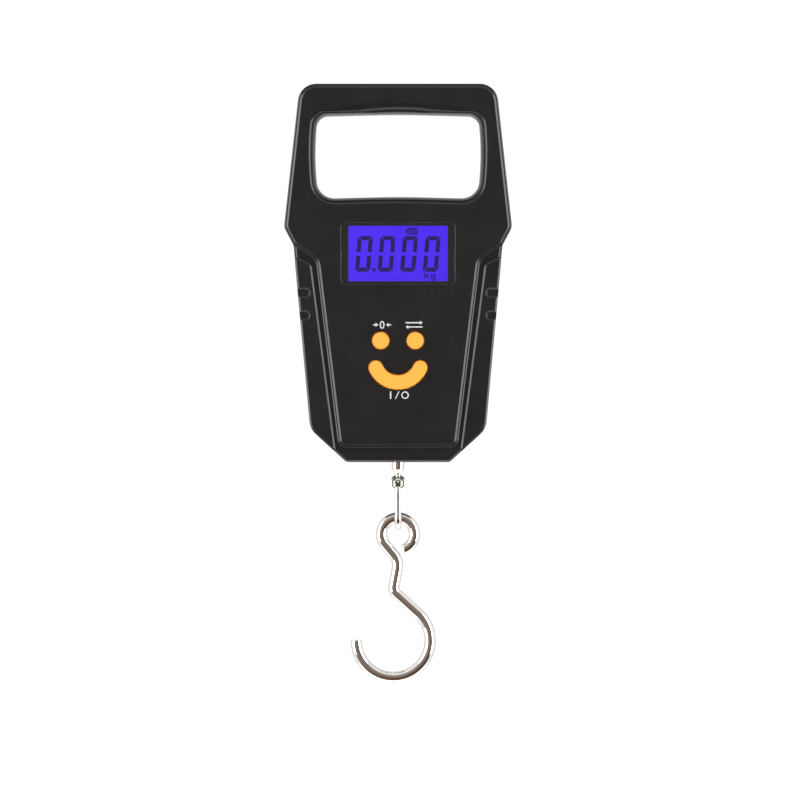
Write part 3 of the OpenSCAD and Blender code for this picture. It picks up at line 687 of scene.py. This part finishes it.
def make_rear_cover():
    cover = stack("rear_cover_shell", BODY,
                  [(-0.15, 0), (-0.04, 0.04), (0, 0.15)] + fillet(0, BACK - 2.8, -2.8, BACK, 9))
    cut(cover, hollow("room", -1, BACK_INNER, BODY, WALL, WALL))
    root = BACK_INNER + 0.5
    bay_w, bay_h = 2 * BAY_HALF_W, 2 * BAY_HALF_H
    bay = stack("bay", rectangle(0, BAY_Z, bay_w + 2 * BAY_WALL, bay_h + 2 * BAY_WALL, 1),
                [(0, -1.4), (0, root)])
    join(cover, *locating_rim(),
         *pegs("post", SCREWS, POST_R, 0, root),
         *pegs("beam_post", BEAM_SCREWS, BEAM_POST_R, 4, root), bay)
    cutters = [opening_cutter(-1, BACK - 2.6, BACK, grow(OPENING, 2.6))]
    cutters.append(stack("bay_room", rectangle(0, BAY_Z, bay_w, bay_h, 0.6),
                         [(0, -0.2), (0, BACK + 1)]))
    cutters.append(stack("door_seat", rectangle(0, DOOR_MID, 2 * (DOOR_HALF_W + DOOR_GAP),
                                                DOOR_H + 2 * DOOR_GAP, 0.5),
                         mouth(0, BACK, DOOR_T + 0.1, 0.25)))
    for x in TONGUE_XS:
        cutters.append(stack("pocket", rectangle(x, DOOR_HIGH, 7.6, 4.4, 0.2),
                             [(0, BACK - 4.3), (0, BACK_INNER)]))
        cutters.append(stack("pocket", rectangle(x, DOOR_HIGH + DOOR_GAP - 1.2, 7.6, 2.4, 0.2),
                             [(0, BACK - 4.3), (0, BACK - DOOR_T)]))
    # Finger groove: a roller across the body, its ends rounded; each step is (radius, x)
    end = [(THUMB_R - 1.2, 6.9), (THUMB_R - 0.6, 6.7), (THUMB_R - 0.25, 6.35), (THUMB_R, 6)]
    roller = [(r, -x) for r, x in end] + end[::-1]
    cutters.append(loft("thumb", [[(x, BACK + 5.4 + u, DOOR_LOW - 2.5 + v)
                                   for u, v in circle(0, 0, r, 64)] for r, x in roller]))
    for z in (BAY_Z - CELL_PITCH / 2, BAY_Z + CELL_PITCH / 2):
        cutters.append(stack("tab_slot", rectangle(0.15 - BAY_HALF_W, z, 0.4, 2.6, 0.05),
                             [(0, -2), (0, 1)]))
    well = mouth(WELL_R, BACK, WELL_DEPTH, 0.3)
    cutters += pegs("pilot", SCREWS, PILOT_R, -1, BACK)
    cutters += mirrored(lambda x, z: turned("well", x, z, well), SCREWS)
    cutters += pegs("pilot", BEAM_SCREWS, BEAM_PILOT_R, 3, BACK_INNER - 0.4)
    cut(cover, *cutters, shaft_hole())
    hand_over(smooth(cover), "case", "black_abs", "rear_cover")


def make_battery_cover():
    """Door with two hooked tongues at its upper edge and five grip grooves near the lower one."""
    inside = BACK - DOOR_T
    door = stack("battery_door_panel", rectangle(0, DOOR_MID, 2 * DOOR_HALF_W, DOOR_H, 0.5),
                 [(-0.15, inside), (0, inside + 0.15)] + fillet(0, BACK - 0.3, -0.3, BACK, 5))
    tongues = []
    for x in TONGUE_XS:
        tongues.append(stack("tongue", rectangle(x, DOOR_HIGH - 0.9, 7, 1.6, 0.3),
                             [(0, inside - 1.4), (0, inside + 0.2)]))
        tongues.append(stack("tongue", rectangle(x, DOOR_HIGH + 0.1, 7, 2.8, 0.3),
                             [(-0.2, BACK - 3.4), (0, BACK - 3.2), (0, BACK_INNER - 0.1)]))
    join(door, *tongues)
    grooves = [stack("groove", rectangle(0, DOOR_LOW + 4 + 2 * i, 14, 0.8, 0.39),
                     [(-0.3, BACK - 0.5), (-0.1, BACK - 0.4), (0, BACK - 0.2), (0.12, BACK + 0.002),
                      (0.12, BACK + 1)])
               for i in range(5)]
    cut(door, *grooves)
    hand_over(smooth(door), "battery_door", "black_abs", "battery_cover")


# ---- Display ----

DIGIT_H, DIGIT_W, DIGIT_PITCH = 12.5, 5.3, 7.95
DIGIT_X, DIGIT_Z = -15.19, 67.06
STROKE = 1.45
SLANT = math.tan(math.radians(5))
GLASS_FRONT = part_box("lcd_panel")[0].y / MM
FILM = 0.03
THIN = 0.42


def zero_segments():
    """The six lit segments of a nought, upright, as outlines."""
    w, h, t = DIGIT_W, DIGIT_H, STROKE
    gap, chop, middle = 0.13, 0.75, 0.5
    top = [(chop, h), ((chop + gap) / 2, h - (chop - gap) / 2), (t + gap, h - t),
           (w - t - gap, h - t), (w - (chop + gap) / 2, h - (chop - gap) / 2), (w - chop, h)]
    left = [(0, h - chop), (0, h / 2 + middle), (t, h / 2 + middle + 0.25), (t, h - t - gap),
            ((chop - gap) / 2, h - (chop + gap) / 2)]
    right = [(w - x, z) for x, z in reversed(left)]
    upper = [top, left, right]
    lower = [[(x, h - z) for x, z in reversed(outline)] for outline in upper]
    return upper + lower


def slanted(outline, x, z):
    return [(x + px + pz * SLANT, z + pz) for px, pz in outline]


def block(x, z, w, h, r=0.1):
    """A small rectangle with rounded corners, about its middle."""
    return rounded(rectangle(x, z, w, h, r), 3)


def battery_sign(x, z):
    """Nub, thin walls and three bars, about the middle of the sign's case."""
    walls = [block(x, z + dz, 3.7, THIN) for dz in (-1, 1)]
    ends = [block(x + dx, z, THIN, 2.4) for dx in (-1.65, 1.65)]
    bars = [block(x + 0.85 * i, z, 0.62, 1.35) for i in (-1, 0, 1)]
    return [block(x - 2.1, z, 0.5, 0.9)] + walls + ends + bars


def display_marks():
    """Everything that the display shows, as outlines."""
    marks = []
    for i in range(4):
        marks += [slanted(s, DIGIT_X + i * DIGIT_PITCH, DIGIT_Z) for s in zero_segments()]
    # The point stands between the first two digits
    marks.append(block(-8.46, 67.7, 1.15, 1.15, 0.15))
    return marks + battery_sign(5.05, 81.3) + unit_mark(9.4, 64.75)


def stroke(points, width):
    """A straight-sided line along points, square at its ends."""
    left, right = [], []
    for i, at in enumerate(points):
        at = Vector(at)
        before = Vector(points[i - 1]) if i else None
        after = Vector(points[i + 1]) if i < len(points) - 1 else None
        e0 = (at - before).normalized() if before else (after - at).normalized()
        e1 = (after - at).normalized() if after else e0
        n0, n1 = Vector((-e0.y, e0.x)), Vector((-e1.y, e1.x))
        side = (n0 + n1) * width / 2 / (1 + n0.dot(n1))
        left.append(tuple(at + side))
        right.append(tuple(at - side))
    return right + left[::-1]


def unit_mark(x, z):
    """The letters of the kilogram sign, made of strokes."""
    lines = [[(0, 0), (0, 2.0)],
             [(THIN * 0.55, 0.62), (1.3, 1.4)],
             [(0.5, 0.85), (1.4, 0)],
             [(3.3, 1.2), (2.25, 1.2), (2.25, 0.18), (3.3, 0.18)],
             [(3.51, 1.41), (3.51, -0.6), (2.1, -0.6)]]
    return [stroke([(x + px, z + pz) for px, pz in line], THIN) for line in lines]


def flat_marks(name, outlines, y0, y1):
    """Thin raised figures joined into one piece; each outline is its own closed slab."""
    points, faces = [], []
    for outline in outlines:
        n, first = len(outline), len(points)
        points += [(x, y, z) for y in (y0, y1) for x, z in outline]
        faces += [(first + j, first + (j + 1) % n, first + n + (j + 1) % n, first + n + j)
                  for j in range(n)]
        faces += [tuple(first + j for j in range(n)), tuple(first + n + j for j in reversed(range(n)))]
    return mesh_object(name, points, faces)


def make_display():
    window = stack("clear_window", rectangle(0, DISPLAY_Z, WINDOW_W, WINDOW_H, 1.35),
                   fillet(0, FRONT + WINDOW_SEAT - 0.15, -0.15, FRONT + WINDOW_SEAT, 3)[::-1]
                   + fillet(0, FRONT + 0.5, -0.2, FRONT + 0.3, 4))
    hand_over(smooth(window), "case", "clear_acrylic", "display_window")
    window.visible_shadow = False
    low, high = (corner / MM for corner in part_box("lcd_panel"))
    glass = rectangle((low.x + high.x) / 2, (low.z + high.z) / 2 - BASE, high.x - low.x,
                      high.z - low.z, 0.3)
    panel = stack("lcd_cell", glass, fillet(0, low.y + 0.1, -0.1, low.y, 2)[::-1]
                  + [(0, high.y - 0.1), (-0.1, high.y)])
    hand_over(smooth(panel), "case", "lcd_glass", "lcd_panel")
    marks = flat_marks("lcd_figures", display_marks(), GLASS_FRONT - FILM, GLASS_FRONT - 0.004)
    hand_over(marks, "case", "lcd_glass", look="crystal_dark")


# ---- Keys and print ----


KEY_TOP = FRONT - KEY_PROUD


def key_side(r):
    """Flange, wall and rounded edge of a key whose wall is at r, up to its faintly domed top."""
    return ([(r + FLANGE_OUT, FLANGE_Y1), (r + FLANGE_OUT, FLANGE_Y0), (r, FLANGE_Y0)]
            + fillet(r, KEY_TOP + KEY_EDGE, r - KEY_EDGE, KEY_TOP + 0.05, 6)
            + [(r - 1.1, KEY_TOP + 0.015)])


def make_round_key(name, side, body, node):
    steps = key_side(KEY_R) + [(KEY_R - 1.9, KEY_TOP), (0.3, KEY_TOP)]
    key = turned(name, side * KEY_X, KEY_Z, steps)
    hand_over(smooth(key), body, "orange_key", node)


def make_power_key():
    key = bar_stack("power_key_cap", key_side(0) + [(-1.8, KEY_TOP)])
    hand_over(smooth(key), "power_key", "orange_key", "power_button")


def arrow(x0, x1, z, head, width):
    """Straight arrow from x0 to x1: its shaft and its head, as outlines."""
    way = math.copysign(1, x1 - x0)
    neck = x1 - way * head
    tip = [(neck, z - head * 0.72), (x1, z), (neck, z + head * 0.72)]
    return [stroke([(x0, z), (neck + way * 0.02, z)], width), tip]


def ring_marks(x, z, rx, rz, width, steps=36):
    """An oval ring as short blocks, end to end."""
    def at(i, inset):
        angle = math.tau * i / steps
        return x + (rx - inset) * math.cos(angle), z + (rz - inset) * math.sin(angle)

    return [[at(i, 0), at(i + 1, 0), at(i + 1, width), at(i, width)] for i in range(steps)]


def key_signs():
    """Set to nought, change unit, and on or off, each as plain signs."""
    left, right, middle = -5.59, 5.68, 48.35
    low, high = 22.3, 24.95
    signs = ring_marks(left, middle, 0.85, 1.4, THIN)
    signs += arrow(left - 3.2, left - 1.35, middle, 1.0, THIN)
    signs += arrow(left + 3.2, left + 1.35, middle, 1.0, THIN)
    signs += arrow(right - 3.0, right + 3.0, middle + 0.75, 0.95, THIN)
    signs += arrow(right + 3.0, right - 3.0, middle - 0.75, 0.95, THIN)
    signs.append(stroke([(-2.6, low), (-2.6, high)], THIN + 0.05))
    signs.append(stroke([(-0.9, low), (0.35, high)], THIN * 0.8))
    signs += ring_marks(2.5, 23.62, 1.32, 1.32, THIN)
    return signs


def make_print():
    signs = flat_marks("key_print", key_signs(), FRONT - 0.025, FRONT + 0.02)
    hand_over(signs, "case", "black_abs", look="white_print")


# ---- Batteries ----


def make_cell(name, side, z, node):
    """Dry cell lying across the body, its nub towards side; each step is (radius, x)."""
    nub_end = BAY_HALF_W - 0.3
    shoulder = nub_end - NUB_LEN
    band = shoulder - 6.5
    flat_end = nub_end - CELL_LEN
    # Nub, sunk plus end, sleeve with a fine crease where its colour changes, flat end
    steps = [(0.4, nub_end), (1.6, nub_end), (1.9, nub_end - 0.2), (1.9, shoulder + 0.25),
             (2.4, shoulder + 0.25), (2.6, shoulder - 0.1), (4.0, shoulder - 0.15),
             (4.5, shoulder), (CELL_R - 0.25, shoulder), (CELL_R, shoulder - 0.3),
             (CELL_R, band), (CELL_R - 0.03, band - 0.05), (CELL_R - 0.03, band - 0.2),
             (CELL_R, band - 0.25), (CELL_R, flat_end + 0.4), (CELL_R - 0.35, flat_end),
             (4.2, flat_end), (4.0, flat_end + 0.2), (0.4, flat_end + 0.2)]
    loops = [[(side * x, CELL_Y + py, z + pz) for py, pz in circle(0, 0, r)] for r, x in steps]
    cell = smooth(loft(name, loops), 40)
    hand_over(cell, "case", "cell_sleeve", node)
    # Bare metal at both ends and a lighter band round the plus end
    cell.data.materials.append(LOOKS["contact_nickel"])
    cell.data.materials.append(LOOKS["white_print"])
    for face in cell.data.polygons:
        along = side * face.center.x / MM
        across = math.hypot(face.center.y / MM - CELL_Y, face.center.z / MM - BASE - z)
        if across < 4.3:
            face.material_index = 1
        elif along > band:
            face.material_index = 2


# ---- Swivel, link and hook ----


def make_swivel():
    """Eye bolt: shaft, short cone, round eye and the stop collar inside the case, as one piece."""
    shaft_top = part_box("swivel_eye")[1].z / MM - BASE
    crown = EYE_Z + EYE_R
    neck = [(0.9, crown - 0.5), (1.0, crown + 1.1), (1.1, crown + 1.3), (2.1, crown + 2.5),
            (SHAFT_R, crown + 2.75), (SHAFT_R, shaft_top - 0.4), (SHAFT_R - 0.4, shaft_top)]
    eye = upright("swivel_eye_bolt", neck, 64)
    ring = [(x, 0, z) for x, z in circle(0, EYE_Z, EYE_R, 72)]
    torus = tube("ring", ring, [EYE_WIRE] * len(ring), 32, (0, 1, 0), closed=True)
    collar = upright("collar", [(3.3, 5.4), (3.6, 5.6), (3.6, 6.75), (3.4, 6.95)], 64)
    join(eye, torus, collar)
    # An even mesh, eased a little, rounds the corner between cone and eye
    remesh = eye.modifiers.new("even", "REMESH")
    remesh.mode = "VOXEL"
    remesh.voxel_size = 0.13 * MM
    ease = eye.modifiers.new("ease", "SMOOTH")
    ease.factor = 0.5
    ease.iterations = 6
    bake_modifiers(eye)
    eye.data.shade_smooth()
    hand_over(eye, "swivel", "nickel_steel", "swivel_eye")


def make_link():
    """Oval link of bent wire, with the butt joint half way down one side."""
    bend = 24
    side = 22
    top, bottom = LINK_TOP - LINK_HALF, LINK_BOTTOM + LINK_HALF
    path = [(0, y, z) for y, z in arc(0, top, LINK_HALF, 0, 180, bend)]
    path += [(0, -LINK_HALF, top + (bottom - top) * i / side) for i in range(1, side)]
    path += [(0, y, z) for y, z in arc(0, bottom, LINK_HALF, 180, 360, bend)]
    # Each step of the joint is (height from its middle, depth of the crease)
    joint_z = (top + bottom) / 2
    rise = [(0.03, 0.3), (0.07, 0.12), (0.16, 0), (0.5, 0), (2, 0)]
    joint = [(-dz, dip) for dz, dip in rise[::-1]] + rise
    path += [(0, LINK_HALF, joint_z + dz) for dz, _ in joint]
    radii = [LINK_R] * (len(path) - len(joint)) + [LINK_R - dip for _, dip in joint]
    link = tube("wire_link", path, radii, 32, (1, 0, 0), closed=True)
    hand_over(smooth(link, 50), "hanger", "nickel_steel", "link")


def hook_path():
    """Centreline of the hook: ring, bent shank and bowl."""
    high, low = (0.25, -34.8, 5.8), (BOWL_X, -45.4, 3.2)
    ring = arc(0, RING_Z, RING_R, -72, 218, 72)
    bowl = arc(BOWL_X, BOWL_Z, BOWL_R, 52, -181, 96)
    shank = corner_arc(ring[-1], high, low, 20) + corner_arc(high, low, bowl[0], 20)
    return ring + shank + bowl


def make_hook():
    """The bent wire; at both ends its edge is rounded within the length of a few points."""
    path = [Vector((x, 0, z)) for x, z in hook_path()]
    edge = 0.55
    turns = [math.pi / 2 * i / 5 for i in range(6)]
    start, end = path[0], path[-1]
    in_start = (path[1] - start).normalized()
    in_end = (path[-2] - end).normalized()
    first = [start + in_start * edge * (1 - math.cos(a)) for a in turns]
    last = [end + in_end * edge * (1 - math.cos(a)) for a in turns]
    radii = [HOOK_R - edge + edge * math.sin(a) for a in turns]
    whole = first + path[3:-3] + last[::-1]
    sizes = radii + [HOOK_R] * (len(path) - 6) + radii[::-1]
    hook = tube("steel_hook", whole, sizes, 40, (0, 1, 0))
    hand_over(smooth(hook, 50), "hook", "nickel_steel", "hook")


# ---- Pieces kept from the CAD model ----

KEPT = {
    "light_guide": ["backlight"],
    "white_abs": ["display_frame"],
    "zebra_rubber": ["zebra_strip"],
    "green_board": ["circuit_board"],
    "black_epoxy": ["controller_chip"],
    "solder_parts": ["board_parts"],
    "switch_body": ["tact_switches"],
    "switch_stem": ["zero_plunger", "unit_plunger", "power_plunger"],
    "zinc_steel": ["board_screws", "case_screws", "load_cell_screws", "swivel_washer", "swivel_nut"],
    "beam_aluminium": ["load_cell"],
    "white_sealant": ["gauge_potting"],
    "wire_sleeve": ["sensor_wires"],
    "wire_black": ["battery_wires"],
    "contact_nickel": ["battery_springs", "battery_contacts"],
}
# Width of the small bevel on their edges
SOFTENED = {"backlight": 0.2, "display_frame": 0.2, "circuit_board": 0.1, "controller_chip": 0.3,
            "board_parts": 0.12, "tact_switches": 0.2, "zero_plunger": 0.15, "unit_plunger": 0.15,
            "power_plunger": 0.15, "board_screws": 0.1, "case_screws": 0.12, "load_cell_screws": 0.12,
            "swivel_washer": 0.08, "swivel_nut": 0.15, "load_cell": 0.2, "gauge_potting": 0.45,
            "zebra_strip": 0.1, "battery_contacts": 0.06}


def dress_kept_nodes():
    """Gives the pieces kept from the CAD their materials and slightly rounded edges."""
    for slot, names in KEPT.items():
        for name in names:
            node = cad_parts[name]
            node.data.materials.clear()
            node.data.materials.append(LOOKS[slot])
            weld = node.modifiers.new("weld", "WELD")
            weld.merge_threshold = 0.001 * MM
            if name in SOFTENED:
                soft = node.modifiers.new("edges", "BEVEL")
                soft.width = SOFTENED[name] * MM
                soft.segments = 2
                soft.limit_method = "ANGLE"
                soft.angle_limit = math.radians(40)
                soft.use_clamp_overlap = True


# ---- Studio ----

# Lengths are metres from here on, and DIM_DIP is degrees
VIEW_WIDTH = 0.2819
VIEW_X, VIEW_Y, VIEW_Z = 0.0007, -0.005, -0.1006
FLOOR_R, FLOOR_DROP = 1.2, 0.035
DIM_DIP = 12
BLACK, WHITE = (0, 0, 0), (1, 1, 1)


def make_camera():
    """Long lens straight in front; VIEW_WIDTH is what it sees at the object."""
    data = bpy.data.cameras.new("camera")
    data.lens = 700
    data.sensor_width = 36
    camera = bpy.data.objects.new("camera", data)
    distance = VIEW_WIDTH * data.lens / data.sensor_width
    camera.location = (VIEW_X, VIEW_Y - distance, VIEW_Z)
    camera.rotation_euler = (math.pi / 2, 0, 0)
    SCENE.collection.objects.link(camera)
    SCENE.camera = camera


def make_light(name, place, aim, width, height, radiance, diffuse=True, glossy=True):
    """Rectangular lamp of an even radiance, not seen by the camera or through the window."""
    data = bpy.data.lights.new(name, "AREA")
    data.shape = "RECTANGLE"
    data.size = width
    data.size_y = height
    data.energy = radiance * math.pi * width * height
    lamp = bpy.data.objects.new(name, data)
    lamp.location = place
    lamp.rotation_euler = (Vector(aim) - Vector(place)).to_track_quat("-Z", "Y").to_euler()
    lamp.visible_camera = False
    lamp.visible_diffuse = diffuse
    lamp.visible_glossy = glossy
    lamp.visible_transmission = False
    SCENE.collection.objects.link(lamp)


def make_world():
    """White for the camera; for all else dim and warm in front, white round that, grey behind."""
    world = bpy.data.worlds.new("studio")
    world.use_nodes = True
    SCENE.world = world
    nodes, links = world.node_tree.nodes, world.node_tree.links
    nodes.clear()
    place = nodes.new("ShaderNodeTexCoord")

    def along(way, low, high):
        """Share of the way from low to high, measured along a direction."""
        dot = nodes.new("ShaderNodeVectorMath")
        dot.operation = "DOT_PRODUCT"
        dot.inputs[1].default_value = way
        span = nodes.new("ShaderNodeMapRange")
        span.inputs["From Min"].default_value = low
        span.inputs["From Max"].default_value = high
        links.new(place.outputs["Generated"], dot.inputs[0])
        links.new(dot.outputs["Value"], span.inputs["Value"])
        return span.outputs["Result"]

    def ramp(share, *stops):
        """Colour between stops, each of which is (position, colour)."""
        node = nodes.new("ShaderNodeValToRGB")
        elements = node.color_ramp.elements
        while len(elements) < len(stops):
            elements.new(0.5)
        for element, (position, color) in zip(elements, stops):
            element.position = position
            element.color = (*color, 1)
        links.new(share, node.inputs["Fac"])
        return node.outputs["Color"]

    # Share of the way from the middle of the dim zone, DIM_DIP degrees down, to its opposite
    dip = math.radians(DIM_DIP)
    share = along((0, math.cos(dip), math.sin(dip)), -1, 1)
    # The dim zone is darkest low on the right, and lighter towards its upper left
    warm = ramp(along((-0.55, 0, 0.83), -0.6, 0.5),
                (0.0, (0.08, 0.042, 0.022)), (0.3, (0.13, 0.09, 0.07)),
                (0.55, (0.22, 0.18, 0.155)), (1.0, (0.36, 0.31, 0.28)))
    bright = ramp(share, (0.0, BLACK), (0.18, BLACK), (0.33, WHITE), (1.0, WHITE))
    around = ramp(share, (0.58, WHITE), (0.70, (0.77, 0.76, 0.75)), (1.0, (0.72, 0.71, 0.70)))
    under = ramp(along((0, 0, -1), 0.5, 1.0), (0.0, BLACK), (1.0, WHITE))
    mix = nodes.new("ShaderNodeMix")
    mix.data_type = "RGBA"
    links.new(bright, mix.inputs["Factor"])
    ends = [socket for socket in mix.inputs if socket.type == "RGBA"]
    links.new(warm, ends[0])
    links.new(around, ends[1])
    # Brighter towards straight below
    lift = nodes.new("ShaderNodeMath")
    lift.operation = "MULTIPLY_ADD"
    lift.inputs[1].default_value = 1.6
    lift.inputs[2].default_value = 1.0
    links.new(under, lift.inputs[0])
    lit = nodes.new("ShaderNodeBackground")
    links.new(lift.outputs[0], lit.inputs["Strength"])
    links.new([socket for socket in mix.outputs if socket.type == "RGBA"][0], lit.inputs["Color"])
    seen = nodes.new("ShaderNodeBackground")
    seen.inputs["Color"].default_value = (*WHITE, 1)
    seen.inputs["Strength"].default_value = 1.05
    rays = nodes.new("ShaderNodeLightPath")
    choose = nodes.new("ShaderNodeMixShader")
    output = nodes.new("ShaderNodeOutputWorld")
    links.new(rays.outputs["Is Camera Ray"], choose.inputs[0])
    links.new(lit.outputs[0], choose.inputs[1])
    links.new(seen.outputs[0], choose.inputs[2])
    links.new(choose.outputs[0], output.inputs["Surface"])


def make_floor():
    """Pale round floor under the hook, left out of reflections, where the world stands in for it."""
    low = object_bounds()[0].z
    mesh = bpy.data.meshes.new("floor")
    ring = [(x, y, low - FLOOR_DROP) for x, y in circle(0, 0, FLOOR_R, 96)]
    mesh.from_pydata(ring, [], [tuple(range(len(ring)))])
    floor = bpy.data.objects.new("floor", mesh)
    floor.visible_glossy = False
    floor.visible_shadow = False
    SCENE.collection.objects.link(floor)
    look = Look("floor", (0.9, 0.9, 0.9), 0.7).mottle(0.002, 0.01)
    look.set("Emission Color", (*WHITE, 1))
    look.set("Emission Strength", 0.4)
    mesh.materials.append(look.material)


def make_studio():
    SCENE.view_settings.view_transform = "Standard"
    make_camera()
    make_world()
    middle = (0, 0, -0.07)
    for side in (-1, 1):
        make_light("side", (side * 1.0, -0.57, 0.0), middle, 0.55, 1.1, radiance=5.0, diffuse=False)
    make_light("fill", (0, -1.2, 0.2), middle, 1.2, 1.2, radiance=3.2, glossy=False)
    make_light("rear_fill", (0, 1.2, 0.2), middle, 1.2, 1.2, radiance=0.9, glossy=False)
    make_floor()


make_studio()
make_front_cover()
make_rear_cover()
make_battery_cover()
make_display()
make_round_key("zero_key_cap", -1, "zero_key", "zero_button")
make_round_key("unit_key_cap", 1, "unit_key", "unit_button")
make_power_key()
make_print()
make_cell("cell_upper", -1, BAY_Z + CELL_PITCH / 2, "battery_upper")
make_cell("cell_lower", 1, BAY_Z - CELL_PITCH / 2, "battery_lower")
make_swivel()
make_link()
make_hook()
dress_kept_nodes()
